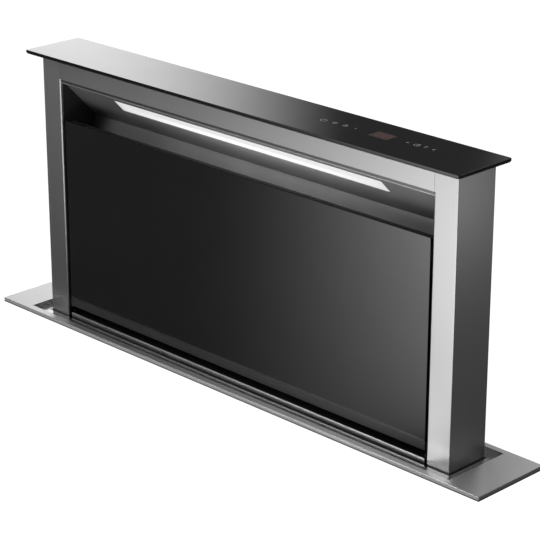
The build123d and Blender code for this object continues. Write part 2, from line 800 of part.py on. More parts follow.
lamp_depth = 14
lamp_wall = 1.5
lamp_length = 496
lamp_width = 31
with BuildPart() as led_channel:
    on_slope(lamp_length, lamp_width, -lamp_depth, -diffuser_thickness)
    on_slope(lamp_length - 2 * lamp_wall, lamp_width - 2 * lamp_wall,
             lamp_wall - lamp_depth, -diffuser_thickness, Mode.SUBTRACT)
led_channel.part.label = "led_channel"

led_board_face = lamp_wall + board_thickness - lamp_depth
led_board_length = 484
led_board_width = 14
led_count = 40
led_pitch = 12
led_size = 2.8
led_height = 0.7
with BuildPart() as led_board:
    on_slope(led_board_length, led_board_width, lamp_wall - lamp_depth, led_board_face)
    with BuildSketch(slope_plane.offset(led_board_face)):
        with Locations(diffuser_centre):
            with GridLocations(led_pitch, 0, led_count, 1):
                Rectangle(led_size, led_size)
    extrude(amount=led_height)
led_board.part.label = "led_board"

# Lower deflector: a sheet from the baffle's crease to the head of the filter frame
deflector_wall = 1
deflector_points = ((rear_inner, 287.3), (62, 287.3), (58.5, 274), (56.5, 266), (36.2, 262))
with BuildPart() as lower_deflector:
    folded(deflector_points, deflector_wall, baffle_half_length)
lower_deflector.part.label = "lower_deflector"

# Filter frame: two windows, a channel under the filters and a keeper over each latch
frame_half_length = 340.9
frame_depth_span = (filter_depth_span[1], filter_depth_span[1] + 2)
frame_span = (12, 260.8)
window_side = (14, 324)
window_span = (42, 230)
filter_centre = sum(filter_span) / 2
shelf_half_length = 336.4
shelf_front = 25
shelf_lip = 1
shelf_top = 28.6
shelf_lip_top = 33
keeper_half_length = 14
keeper_depth_span = (30.5, 31.5)
keeper_low = 254
keeper_ceiling = 259.6
with BuildPart() as filter_frame:
    block(both(frame_half_length), deep(*frame_depth_span), frame_span)
    block(both(shelf_half_length), deep(shelf_front, filter_depth_span[1]), (shelf_top - sheet, shelf_top))
    block(both(shelf_half_length), deep(shelf_front, shelf_front + shelf_lip), (shelf_top, shelf_lip_top))
    for side in (-1, 1):
        block(on_side(side, *window_side), deep(*frame_depth_span), window_span, Mode.SUBTRACT)
        keeper = about(side * filter_centre, keeper_half_length)
        block(keeper, deep(keeper_depth_span[0], filter_depth_span[1]), (keeper_ceiling, frame_span[1]))
        block(keeper, deep(*keeper_depth_span), (keeper_low, keeper_ceiling))
filter_frame.part.label = "filter_frame"

# Grease filters: slotted aluminium cassettes, each with a sprung latch in its upper border
slot_columns = 24
slot_rows = 4
slot_pitch = (13, 48)
slot_size = (8, 43)
face_recess = 2
tongue_depth_span = (32, 34.5)
tongue_height_span = (247.5, 257.5)
tongue_half_width = 12
stem_half_width = 5.5
stem_height = 4
latch_gap = 0.5
thumb_half_width = 18
thumb_depth_span = (25.2, 26.8)
thumb_height_span = (240, 254)
thumb_recess_depth = 0.6
thumb_rim = 3


def grease_filter(side, label):
    centre = side * filter_centre
    front, back = filter_depth_span
    core_height = (filter_height_span[0] + filter_border, filter_height_span[1] - latch_border)
    core = inset(on_side(side, *filter_span), filter_border)
    with BuildPart() as cassette:
        block(on_side(side, *filter_span), deep(front, back), filter_height_span)
        for recess in ((front, front + face_recess), (back - face_recess, back)):
            block(core, deep(*recess), core_height, Mode.SUBTRACT)
        with BuildSketch(Plane.XZ.offset(-(tower_front + back))):
            with Locations((centre, sum(core_height) / 2)):
                with GridLocations(*slot_pitch, slot_columns, slot_rows):
                    Rectangle(*slot_size)
        extrude(amount=back - front, mode=Mode.SUBTRACT)
        pocket = (tongue_height_span[0] - latch_travel - latch_gap, filter_height_span[1])
        block(about(centre, tongue_half_width + latch_gap), inset(deep(*tongue_depth_span), -latch_gap),
              pocket, Mode.SUBTRACT)
        block(about(centre, stem_half_width + latch_gap), deep(front, tongue_depth_span[0]),
              pocket, Mode.SUBTRACT)
    cassette.part.label = label
    return cassette


def filter_latch(side, label):
    centre = side * filter_centre
    with BuildPart() as latch:
        block(about(centre, tongue_half_width), deep(*tongue_depth_span), tongue_height_span)
        block(about(centre, stem_half_width), deep(thumb_depth_span[1], tongue_depth_span[0]),
              (tongue_height_span[0], tongue_height_span[0] + stem_height))
        block(about(centre, thumb_half_width), deep(*thumb_depth_span), thumb_height_span)
        block(about(centre, thumb_half_width - thumb_rim),
              deep(thumb_depth_span[0], thumb_depth_span[0] + thumb_recess_depth),
              inset(thumb_height_span, thumb_rim), Mode.SUBTRACT)
    latch.part.label = label
    return latch


left_filter = grease_filter(-1, "left_filter")
right_filter = grease_filter(1, "right_filter")
left_filter_latch = filter_latch(-1, "left_filter_latch")
right_filter_latch = filter_latch(1, "right_filter_latch")

# Drip tray: catches what runs off the filters, with a low lip behind the sill
drip_half_length = 334
drip_depth_span = (4.4, 35)
drip_height_span = (0, 10)
drip_wall = 1
drip_lip_top = 4.5
with BuildPart() as drip_tray:
    block(both(drip_half_length), deep(*drip_depth_span), drip_height_span)
    block(both(drip_half_length - drip_wall), inset(deep(*drip_depth_span), drip_wall),
          (drip_height_span[0] + drip_wall, drip_height_span[1]), Mode.SUBTRACT)
    block(both(drip_half_length), deep(drip_depth_span[0], drip_depth_span[0] + drip_wall),
          (drip_lip_top, drip_height_span[1]), Mode.SUBTRACT)
drip_tray.part.label = "drip_tray"

# Front skirt: the tower's front below the glass panel, hemmed at its upper edge
skirt_half_length = 335.5
skirt_depth = 2
skirt_top = 4
skirt_hem = 1
skirt_foot_end = 12
with BuildPart() as front_skirt:
    block(both(skirt_half_length), deep(skirt_depth, skirt_depth + sheet), (tower_foot, skirt_top))
    lying_rod((tower_front + skirt_depth + skirt_hem, skirt_top), skirt_hem, both(skirt_half_length))
    block(both(skirt_half_length), deep(skirt_depth, skirt_foot_end), (tower_foot, tower_foot + sheet))
front_skirt.part.label = "front_skirt"

# Rear cover: closes the tower's back, with a flange under the cap
rear_flange_start = 52
with BuildPart() as rear_cover:
    block(both(beam_half_length), deep(tower_depth - sheet, tower_depth), (tower_foot, tower_top))
    block(both(beam_half_length), deep(rear_flange_start, tower_depth), (tower_top - sheet, tower_top))
rear_cover.part.label = "rear_cover"

# Bottom frame: ties the columns together around the air path
foot_rail = 12
foot_span = (-88.6, -88.6 + foot_rail)
front_foot_rail = (3.4, 3.4 + foot_rail)
rear_foot_rail = (52.4, 52.4 + foot_rail)
foot_tie = 7
with BuildPart() as bottom_frame:
    for rail in (front_foot_rail, rear_foot_rail):
        block(both(beam_half_length), deep(*rail), foot_span)
        block(both(beam_half_length), inset(deep(*rail), sheet), inset(foot_span, sheet), Mode.SUBTRACT)
    for side in (-1, 1):
        block(on_side(side, beam_half_length - foot_tie, beam_half_length),
              deep(front_foot_rail[1], rear_foot_rail[0]), (foot_span[0], foot_span[0] + foot_tie))
bottom_frame.part.label = "bottom_frame"

# Glass panel: hides the filters, and tips forward on pins in two bushes
panel_glass_rear = panel_front + panel_glass_thickness
panel_corner = 1.5
panel_bevel = 0.4
with BuildPart() as panel_glass:
    block(both(panel_half_length), deep(panel_front, panel_glass_rear), panel_span)
    fillet(panel_glass.edges().filter_by(Axis.Y), panel_corner)
    chamfer(panel_glass.faces().sort_by(Axis.Y)[0].edges(), panel_bevel)
panel_glass.part.label = "panel_glass"

pan_half_length = panel_half_length - pan_inset
pan_rear = panel_glass_rear + pan_depth
pan_wall = 1
pivot_end = 340.2
pivot_boss = 326
pivot_centre = (tower_front + panel_pivot[0], panel_pivot[1])
with BuildPart() as panel_tray:
    block(both(pan_half_length), deep(panel_glass_rear, pan_rear), inset(panel_span, pan_inset))
    block(both(pan_half_length - pan_wall), deep(panel_glass_rear + pan_wall, pan_rear),
          inset(panel_span, pan_inset + pan_wall), Mode.SUBTRACT)
    for side in (-1, 1):
        lying_rod(pivot_centre, panel_pin / 2, on_side(side, pivot_boss, pivot_end))
panel_tray.part.label = "panel_tray"

# Panel fittings: a bush for each pin and a magnet near each upper corner
bush_side = (336.2, liner_side[0])
bush_depth_span = (4.5, 16)
bush_height_span = (13, 27)
magnet_depth_span = (6.5, 16.5)
magnet_height_span = (262, 282)
with BuildPart() as panel_fittings:
    for side in (-1, 1):
        block(on_side(side, *bush_side), deep(*bush_depth_span), bush_height_span)
        lying_rod(pivot_centre, panel_pin / 2 + running, on_side(side, *bush_side), Mode.SUBTRACT)
        block(on_side(side, *bush_side), deep(*magnet_depth_span), magnet_height_span)
panel_fittings.part.label = "panel_fittings"

pieces = (
    worktop_plate, worktop_gasket, tower_seal, casing_front, casing_rear, casing_sides, casing_floor,
    guide_posts, fixed_rails, mid_rails, moving_rails, actuator_tubes, lift_motors,
    left_lead_screw, right_lead_screw, push_tubes, lift_brackets, limit_switches,
    worktop_clamps, support_legs, blower_box, blower_cover, blower_screws, fan_scroll, inlet_ring,
    impeller, fan_motor, outlet_collar, damper_front_flap, damper_rear_flap,
    electronics_box, electronics_cover, main_board, cable_gland,
    cap_glass, cap_carrier, touch_board, display_module, left_column, right_column, column_liners,
    front_beam, light_baffle, light_diffuser, led_channel, led_board, lower_deflector,
    filter_frame, left_filter, right_filter, left_filter_latch, right_filter_latch,
    drip_tray, front_skirt, rear_cover, bottom_frame, panel_glass, panel_tray, panel_fittings,
)
for piece in pieces:
    export_step(piece.part, f"parts/{piece.part.label}.step")
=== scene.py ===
import json
import math

import bmesh
import bpy
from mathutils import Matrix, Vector


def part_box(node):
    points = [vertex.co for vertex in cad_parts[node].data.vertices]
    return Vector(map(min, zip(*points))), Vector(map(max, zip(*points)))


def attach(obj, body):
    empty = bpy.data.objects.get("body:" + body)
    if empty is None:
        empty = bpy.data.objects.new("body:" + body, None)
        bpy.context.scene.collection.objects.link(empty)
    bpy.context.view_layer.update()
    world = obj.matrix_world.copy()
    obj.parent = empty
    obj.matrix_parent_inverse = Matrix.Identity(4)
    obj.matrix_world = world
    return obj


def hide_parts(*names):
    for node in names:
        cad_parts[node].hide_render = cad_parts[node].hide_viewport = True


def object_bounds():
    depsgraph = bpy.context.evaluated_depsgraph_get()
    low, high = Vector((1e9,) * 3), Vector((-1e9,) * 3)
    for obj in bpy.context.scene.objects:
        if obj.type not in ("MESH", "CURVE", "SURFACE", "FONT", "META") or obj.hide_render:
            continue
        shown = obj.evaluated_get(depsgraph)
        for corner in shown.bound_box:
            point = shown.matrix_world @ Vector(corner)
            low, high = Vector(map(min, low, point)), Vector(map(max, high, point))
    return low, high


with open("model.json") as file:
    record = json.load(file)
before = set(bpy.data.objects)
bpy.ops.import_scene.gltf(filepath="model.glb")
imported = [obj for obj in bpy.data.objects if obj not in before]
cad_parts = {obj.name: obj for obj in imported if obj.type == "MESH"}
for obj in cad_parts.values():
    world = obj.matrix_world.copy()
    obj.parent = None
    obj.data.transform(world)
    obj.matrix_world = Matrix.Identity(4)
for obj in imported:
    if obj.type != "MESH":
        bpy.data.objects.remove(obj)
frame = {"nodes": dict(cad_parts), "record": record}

MM = 0.001
cad_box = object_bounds()
scene = bpy.context.scene


# Node trees


class Field:
    """A value in a node tree. Reckoning with it adds the nodes that work it out."""

    def __init__(self, nodes, socket):
        self.nodes, self.socket = nodes, socket

    def __add__(self, other):
        return self.nodes.reckon("ADD", self, other)

    def __sub__(self, other):
        return self.nodes.reckon("SUBTRACT", self, other)

    def __rsub__(self, other):
        return self.nodes.reckon("SUBTRACT", other, self)

    def __mul__(self, other):
        return self.nodes.reckon("MULTIPLY", self, other)

    def __truediv__(self, other):
        return self.nodes.reckon("DIVIDE", self, other)

    def __pow__(self, other):
        return self.nodes.reckon("POWER", self, other)

    def __abs__(self):
        return self.nodes.reckon("ABSOLUTE", self)

    __radd__ = __add__
    __rmul__ = __mul__

    def eased(self, low, high):
        """0 at low, 1 at high, and a smooth step between them. High may be the lower one."""
        step = self.nodes.node(
            "ShaderNodeMapRange", {"interpolation_type": "SMOOTHSTEP"},
            {"Value": self, "From Min": min(low, high), "From Max": max(low, high)},
        )
        return 1 - step if high < low else step

    def beside(self, output):
        """Another output of the node that gives this value."""
        return Field(self.nodes, self.socket.node.outputs[output])


class Nodes:
    """A node tree, and the one method that adds a node to it."""

    def __init__(self, tree):
        self.tree = tree

    def node(self, kind, settings=None, sockets=None, output=0):
        """Adds a node: its settings first, then its sockets' values or fields. Gives one output."""
        made = self.tree.nodes.new(kind)
        for name, value in (settings or {}).items():
            setattr(made, name, value)
        self.fill(made, sockets or {})
        return Field(self, made.outputs[output]) if len(made.outputs) else None

    def fill(self, made, sockets):
        """Sets a node's sockets to values, or links fields to them."""
        for key, value in sockets.items():
            if isinstance(value, Field):
                self.tree.links.new(value.socket, made.inputs[key])
            else:
                made.inputs[key].default_value = value

    def reckon(self, operation, *values):
        """Maths on values and fields."""
        return self.node("ShaderNodeMath", {"operation": operation}, dict(enumerate(values)))

    def show_apart(self, seen, lit, end):
        """Shows one shader to the camera and another to all other rays."""
        camera_ray = self.node("ShaderNodeLightPath", output="Is Camera Ray")
        both = self.node("ShaderNodeMixShader", {}, {0: camera_ray, 1: lit, 2: seen})
        self.node(end, {}, {"Surface": both})


class Finish(Nodes):
    """A material and the nodes that it is made from."""

    def __init__(self, name):
        self.material = bpy.data.materials.new(name)
        self.material.use_nodes = True
        super().__init__(self.material.node_tree)
        self.shader = self.tree.nodes["Principled BSDF"]

    def place(self, scale=(1, 1, 1)):
        """The point of the object that is being shaded, in metres, or stretched."""
        point = self.node("ShaderNodeTexCoord", output="Object")
        if tuple(scale) == (1, 1, 1):
            return point
        return self.node("ShaderNodeMapping", {}, {"Vector": point, "Scale": scale})

    def axis(self, name):
        return self.node("ShaderNodeSeparateXYZ", {}, {0: self.place()}, output=name)

    def noise(self, scale, detail=2.0, roughness=0.5, stretch=(1, 1, 1)):
        return self.node("ShaderNodeTexNoise", {}, {
            "Vector": self.place(stretch), "Scale": scale, "Detail": detail, "Roughness": roughness,
        })

    def cells(self, scale, output="Distance"):
        return self.node(
            "ShaderNodeTexVoronoi", {}, {"Vector": self.place(), "Scale": scale}, output=output,
        )

    def blend(self, share, first, second):
        """A colour between two others."""
        return self.node(
            "ShaderNodeMix", {"data_type": "RGBA"}, {0: share, 6: first, 7: second}, output=2,
        )

    def shade(self, light):
        """A grey as light as a field says."""
        return self.node("ShaderNodeCombineColor", {}, {0: light, 1: light, 2: light})

    def red_of(self, colour):
        """How much red a colour holds, which is its lightness where it is a grey."""
        return self.node("ShaderNodeSeparateColor", {}, {0: colour})

    def relief(self, height, strength, distance):
        return self.node("ShaderNodeBump", {}, {
            "Height": height, "Strength": strength, "Distance": distance,
        })

    def wear(self, **sockets):
        """Sets the shader's own sockets and gives the material."""
        self.fill(self.shader, {key.replace("_", " "): value for key, value in sockets.items()})
        return self.material


def grey(light):
    """An opaque grey."""
    return (light, light, light, 1.0)


def dimmed(colour, share):
    """An opaque colour, at a share of its brightness."""
    return (*(part * share for part in colour), 1.0)


# Finishes


def brushed_steel(name, along, light, rough, below=None, edge=None):
    """Stainless steel with fine scratches along one axis and a soft mottle from handling.

    Below gives a height, and the lightness and roughness of the sheet under it: a darker sheet
    there is painted shade. Edge gives two heights, and the lightness and roughness of the bevelled
    edge between
    them: a darker edge there is painted shade that dims its highlight."""
    finish = Finish(name)
    light_here, rough_here = light, rough
    # A darker sheet under the height is painted shade, as in the plate's recess and under the
    # beam's step.
    if below:
        top, painted_shade_light, low_rough = below
        soft = 0.2 * MM
        low = finish.axis("Z").eased(top + soft, top - soft)
        light_here = light + low * (painted_shade_light - light)
        rough_here = rough + low * (low_rough - rough)
    # The bevelled edge between the two heights is painted darker, as shade that dims the highlight
    # the lights throw on it.
    if edge:
        foot, head, painted_dim_edge_light, edge_rough = edge
        soft = 0.05 * MM
        height = finish.axis("Z")
        ground = height.eased(foot - soft, foot + soft) * height.eased(head, head - soft)
        light_here = light_here + ground * (painted_dim_edge_light - light)
        rough_here = rough_here + ground * (edge_rough - rough)
    stretch = [0.012 if axis == along else 1.0 for axis in "XYZ"]
    scratches = finish.noise(1500, 3, 0.6, stretch)
    bands = finish.noise(300, 2, 0.5, stretch)
    mottle = finish.noise(7, 3, 0.55)
    return finish.wear(
        Base_Color=finish.shade((scratches * 0.084 + bands * 0.036 + 0.93) * light_here),
        Metallic=1.0,
        Roughness=rough_here - 0.03 + scratches * 0.05 + mottle * 0.03,
        Normal=finish.relief(scratches, 0.06, 0.0002),
    )


def zinc_sheet(name):
    """Galvanised sheet: large pale crystals that catch the light differently."""
    finish = Finish(name)
    crystal = finish.red_of(finish.cells(75, output="Color"))
    streaks = finish.noise(420, 3, 0.6, (1.0, 1.0, 0.15))
    dull, bright = (0.62, 0.63, 0.65, 1.0), (0.74, 0.75, 0.76, 1.0)
    return finish.wear(
        Base_Color=finish.blend(crystal * 0.8 + streaks * 0.2, dull, bright),
        Metallic=0.9,
        Roughness=0.38 + crystal * 0.06,
        Normal=finish.relief(streaks, 0.1, 0.0003),
    )


def turned_steel(name):
    """Bright drawn rod and tube with faint rings round it."""
    finish = Finish(name)
    rings = finish.noise(700, 2, 0.5, (0.05, 0.05, 1.0))
    haze = finish.noise(30, 2)
    return finish.wear(
        Base_Color=finish.blend(rings, grey(0.62), grey(0.74)),
        Metallic=1.0,
        Roughness=0.14 + haze * 0.1,
        Normal=finish.relief(rings, 0.08, 0.0002),
    )


def dark_glass(name, rough, ior=1.52, matt_below=None):
    """Glass painted black on the back, with a faint haze from wiping.

    Matt_below gives the height of a matt foot, which starts softly."""
    finish = Finish(name)
    if matt_below:
        soft = 4 * MM
        rough = finish.axis("Z").eased(matt_below + soft, matt_below - soft) * 0.55 + rough
    haze = finish.noise(14, 4, 0.6)
    specks = finish.noise(900, 2)
    return finish.wear(
        Base_Color=finish.blend(haze, grey(0.004), grey(0.008)),
        Roughness=rough + haze * 0.04 + specks * 0.01,
        IOR=ior,
        Coat_Weight=haze * 0.2,
        Coat_Roughness=0.03,
    )


def painted_sheet(name, light, rough, metal=0.0, hem=None):
    """Sheet steel with a fine, slightly pebbled coat of paint.

    Hem gives two heights, between which the sheet is bare and bright."""
    finish = Finish(name)
    bare = 0.0
    if hem:
        foot, head = hem
        soft = 0.1 * MM
        height = finish.axis("Z")
        bare = height.eased(foot - soft, foot) * height.eased(head + soft, head)
    pebbles = finish.noise(1100, 2, 0.5)
    clouds = finish.noise(18, 3)
    return finish.wear(
        Base_Color=finish.shade((clouds * 0.3 + 0.85) * light + bare * 0.4),
        Metallic=metal + bare * (1 - metal),
        Roughness=rough - 0.04 + clouds * 0.08,
        Normal=finish.relief(pebbles, 0.12, 0.0003),
    )


def moulded_plastic(name, light, rough=0.5):
    """Moulded plastic with a fine spark-eroded grain."""
    finish = Finish(name)
    grain = finish.cells(1500)
    flow = finish.noise(25, 3)
    return finish.wear(
        Base_Color=finish.blend(flow, grey(light * 0.85), grey(light * 1.2)),
        Roughness=rough - 0.05 + flow * 0.1,
        Normal=finish.relief(grain, 0.2, 0.0002),
    )


def foam_rubber(name):
    """Closed-cell rubber with small open pores in its skin."""
    finish = Finish(name)
    pores = finish.cells(900).eased(0.1, 0.45)
    patches = finish.noise(40, 3)
    return finish.wear(
        Base_Color=finish.blend(pores * 0.7 + patches * 0.3, grey(0.006), grey(0.022)),
        Roughness=0.82 - pores * 0.1,
        Normal=finish.relief(pores, 0.4, 0.0004),
    )


def drawn_aluminium(name):
    """Bright aluminium, drawn lengthwise, as in the frames and the mesh of a grease filter."""
    finish = Finish(name)
    drawn = finish.noise(350, 3, 0.6, (0.2, 1.0, 1.0))
    return finish.wear(
        Base_Color=finish.blend(drawn, grey(0.62), grey(0.82)),
        Metallic=1.0,
        Roughness=0.28 + drawn * 0.14,
        Normal=finish.relief(drawn, 0.15, 0.0002),
    )


def lamp_cover(name):
    """Opal diffuser, lit from behind, slightly duller towards its ends."""
    finish = Finish(name)
    frost = finish.noise(260, 3)
    middle = abs(finish.axis("X")).eased(262 * MM, 225 * MM)
    return finish.wear(
        Base_Color=grey(0.25),
        Roughness=0.42 + frost * 0.1,
        Emission_Color=finish.blend(middle * 0.7 + frost * 0.3, grey(0.50), grey(0.67)),
        Emission_Strength=1.0,
    )


def lit_mark(name, colour, strength):
    """A printed mark with a small lamp behind it."""
    finish = Finish(name)
    ink = finish.noise(2200, 2)
    return finish.wear(
        Base_Color=finish.blend(ink, dimmed(colour, 0.8), dimmed(colour, 1)),
        Roughness=0.35 + ink * 0.1,
        Emission_Color=finish.blend(ink, dimmed(colour, 0.85), dimmed(colour, 1)),
        Emission_Strength=strength,
    )


def circuit_board(name):
    """Green solder mask over copper tracks."""
    finish = Finish(name)
    tracks = finish.red_of(finish.node("ShaderNodeTexBrick", {"offset": 0.35}, {
        "Vector": finish.place(), "Scale": 120.0, "Mortar Size": 0.06,
        "Color1": grey(0.0), "Color2": grey(0.25), "Mortar": grey(1.0),
    }))
    return finish.wear(
        Base_Color=finish.blend(tracks, (0.012, 0.10, 0.03, 1.0), (0.05, 0.24, 0.08, 1.0)),
        Roughness=0.35 + tracks * 0.1,
        Coat_Weight=0.3 + tracks * 0.2,
        Normal=finish.relief(tracks, 0.3, 0.0002),
    )


# The plate's recess floor, under 3 mm, is painted darker as shade in the recess, and it is also
# smoother.
# The plate's top bevel, between 5.2 and 5.97 mm, is painted darker, as shade that dims its
# highlight.
worktop_steel = brushed_steel(
    "worktop_plate_brushed_steel", "X", 0.70, 0.39,
    below=(3 * MM, 0.50, 0.26), edge=(5.2 * MM, 5.97 * MM, 0.38, 0.50),
)
column_steel = brushed_steel("column_brushed_steel", "Z", 0.54, 0.40)
# The beam's stepped lower edge, under 350 mm, is painted darker as shade in the step.
beam_steel = brushed_steel("beam_brushed_steel", "X", 0.54, 0.38, below=(350 * MM, 0.24, 0.42))
skirt_steel = brushed_steel("skirt_brushed_steel", "X", 0.60, 0.34)
rear_steel = brushed_steel("rear_cover_brushed_steel", "X", 0.58, 0.32)
casing_zinc = zinc_sheet("casing_galvanised_sheet")
drawn_steel = turned_steel("drawn_bright_steel")
panel_black = dark_glass("panel_black_glass", 0.06, ior=1.85, matt_below=29 * MM)
cap_black = dark_glass("cap_black_glass", 0.10)
hood_black = painted_sheet("black_painted_sheet", 0.018, 0.42)
baffle_grey = painted_sheet(
    "light_baffle_dark_satin", 0.30, 0.36, metal=0.6, hem=(344.3 * MM, 345.3 * MM),
)
fitting_black = moulded_plastic("black_moulded_plastic", 0.018)
fan_plastic = moulded_plastic("fan_grey_plastic", 0.14, 0.42)
motor_grey = painted_sheet("motor_cast_grey", 0.16, 0.45, metal=0.5)
seal_rubber = foam_rubber("black_foam_rubber")
filter_aluminium = drawn_aluminium("filter_bright_aluminium")
lamp_white = lamp_cover("lamp_opal_cover")
board_green = circuit_board("green_circuit_board")
mark_white = lit_mark("touch_mark_white", (0.40, 0.41, 0.42), 0.22)
mark_red = lit_mark("display_red_light", (0.13, 0.034, 0.028), 0.35)
display_dark = lit_mark("display_window_glow", (0.019, 0.015, 0.014), 0.5)

slot_finish = {
    "stainless": column_steel,
    "zinc_steel": casing_zinc,
    "bright_steel": drawn_steel,
    "foam_rubber": seal_rubber,
    "black_glass": panel_black,
    "black_sheet": hood_black,
    "black_plastic": fitting_black,
    "fan_grey": fan_plastic,
    "mesh_aluminium": filter_aluminium,
    "lamp_white": lamp_white,
    "circuit_board": board_green,
}
node_finish = {
    "worktop_plate": worktop_steel,
    "front_beam": beam_steel,
    "front_skirt": skirt_steel,
    "rear_cover": rear_steel,
    "light_baffle": baffle_grey,
    "lower_deflector": baffle_grey,
    "fan_motor": motor_grey,
    "cap_glass": cap_black,
}
node_slot = {part["node"]: part["material_slot"] for part in frame["record"]["subparts"]}


def dress(thing, material):
    """Puts one finish on every face of a mesh."""
    thing.data.materials.clear()
    thing.data.materials.append(material)


for node_name, thing in frame["nodes"].items():
    dress(thing, node_finish.get(node_name) or slot_finish[node_slot[node_name]])


# Mesh helpers


def stand_up(mesh, name, material):
    """Turns a bmesh, or a mesh that is already grown, into an object with one finish."""
    if isinstance(mesh, bmesh.types.BMesh):
        bmesh.ops.recalc_face_normals(mesh, faces=mesh.faces)
        data = bpy.data.meshes.new(name)
        mesh.to_mesh(data)
        mesh.free()
    else:
        data = mesh
    thing = bpy.data.objects.new(name, data)
    scene.collection.objects.link(thing)
    dress(thing, material)
    return thing


def settle(mesh, name, material, body, slot, *stands_for):
    """Makes a piece of a finished mesh, riding on a body."""
    piece = stand_up(mesh, name, material)
    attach(piece, body)
    if stands_for:
        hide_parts(*stands_for)


def slab(mesh, x, y, z):
    """Adds a closed box between pairs of values."""
    for vert in bmesh.ops.create_cube(mesh, size=1.0)["verts"]:
        vert.co = [pair[0] if at < 0 else pair[1] for at, pair in zip(vert.co, (x, y, z))]


sharpest_mitre = 0.4


def ribbon(mesh, points, width, level, closed=False):
    """Adds a flat raised line through points in the XY plane, with mitred corners."""
    count = len(points)
    low, high = level
    rings = []
    for i, here in enumerate(points):
        before = points[i - 1] if closed or i else None
        after = points[(i + 1) % count] if closed or i < count - 1 else None
        runs = [
            (Vector(end) - Vector(start)).normalized()
            for start, end in ((before, here), (here, after)) if start and end
        ]
        heading = sum(runs, Vector((0, 0))).normalized()
        across = Vector((-heading.y, heading.x))
        mitre = max(sharpest_mitre, across.dot(Vector((-runs[0].y, runs[0].x))))
        left = Vector(here) + across * (width / 2 / mitre)
        right = Vector(here) - across * (width / 2 / mitre)
        corners = ((left, low), (right, low), (right, high), (left, high))
        rings.append([mesh.verts.new((*point, height)) for point, height in corners])
    for i in range(count if closed else count - 1):
        ring, beyond = rings[i], rings[(i + 1) % count]
        for j in range(4):
            mesh.faces.new((ring[j], ring[(j + 1) % 4], beyond[(j + 1) % 4], beyond[j]))
    if not closed:
        mesh.faces.new(rings[0])
        mesh.faces.new(rings[-1][::-1])


def arc_points(centre, radius, start, end, count):
    """Points along an arc, whose ends are given in degrees."""
    angles = [math.radians(start + (end - start) * i / (count - 1)) for i in range(count)]
    return [(centre[0] + radius * math.cos(a), centre[1] + radius * math.sin(a)) for a in angles]


# Cap glass with ground edges, and the marks and the display behind it

cap_low, cap_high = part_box("cap_glass")
mark_rise = 0.05 * MM
ground_edge = 0.7 * MM
cap_corner = 2.5 * MM


def bevelled_plate(low, high, top, corner, width):
    """A flat plate with rounded corners and ground edges."""
    mesh = bmesh.new()
    slab(mesh, (low.x, high.x), (low.y, high.y), (low.z, top))
    uprights = [edge for edge in mesh.edges if edge.verts[0].co.xy == edge.verts[1].co.xy]
    bmesh.ops.bevel(
        mesh, geom=uprights, offset=corner, segments=6, profile=0.5, affect="EDGES",
    )
    rims = [edge for edge in mesh.edges if edge.verts[0].co.z == edge.verts[1].co.z]
    bmesh.ops.bevel(mesh, geom=rims, offset=width, segments=3, profile=0.5, affect="EDGES")
    return mesh


settle(
    bevelled_plate(cap_low, cap_high, cap_high.z - mark_rise, cap_corner, ground_edge),
    "cap_glass_plate", cap_black, "tower", "black_glass", "cap_glass",
)

mark_level = (cap_high.z - 2 * mark_rise, cap_high.z)
mark_line = 0.65 * MM
arc_steps = 28

# Middles of the touch marks, in millimetres
power, lamp, timer, minus = (132.7, 2.1), (150.6, 3.2), (167.5, 3.6), (184.6, 3.6)
plus, clock, up, down = (266.6, 5.9), (281.4, 6.2), (294.0, 7.6), (307.5, 7.6)


def touch_marks():
    """Power, lamp, timer, minus, plus, clock, up and down, in a row along the right of the cap."""
    mesh = bmesh.new()

    def at(middle, x, y):
        return (middle[0] + x) * MM, (middle[1] + y) * MM

    def ring(middle, radius, start=0.0, end=360.0):
        whole = end - start >= 360
        points = arc_points(at(middle, 0, 0), radius * MM, start, end, arc_steps + whole)
        ribbon(mesh, points[:arc_steps], mark_line, mark_level, closed=whole)

    def stroke(middle, *steps):
        ribbon(mesh, [at(middle, x, y) for x, y in steps], mark_line, mark_level)

    ring(power, 4.2, 125, 415)
    stroke(power, (0, 0.3), (0, 5.1))
    ring(lamp, 1.9)
    for turn in range(0, 360, 60):
        x, y = math.cos(math.radians(turn)), math.sin(math.radians(turn))
        stroke(lamp, *[(reach * x, reach * y) for reach in (2.9, 4.1)])
    ring(timer, 3.1)
    stroke(timer, (0, 2.0), (0, 0), (1.7, -0.6))
    stroke(minus, (-2, 0), (2, 0))
    stroke(plus, (-2, 0), (2, 0))
    stroke(plus, (0, -2), (0, 2))
    ring(clock, 3.9)
    stroke(clock, (0, 2.4), (0, -0.2), (2.2, -0.2))
    for arrow, way in ((up, 1), (down, -1)):
        stroke(arrow, (0, -3.1 * way), (0, 2.4 * way))
        stroke(arrow, (-1.6, 1.5 * way), (0, 3.1 * way), (1.6, 1.5 * way))
    return mesh


settle(touch_marks(), "touch_marks", mark_white, "tower", "lamp_white")

display_x = (212 * MM, 243 * MM)
display_y = (-5 * MM, 15.5 * MM)
digit_lefts = (219.5 * MM, 231.5 * MM)
digit_foot = 3.6 * MM
digit_high, digit_wide = 13 * MM, 7 * MM
digit_bar, digit_gap = 1.9 * MM, 1.0 * MM


def display_window():
    """The dark window behind the digits, a little lower than they are."""
    mesh = bmesh.new()
    level = (cap_high.z - 3 * mark_rise, cap_high.z - 0.4 * mark_rise)
    slab(mesh, display_x, display_y, level)
    return mesh


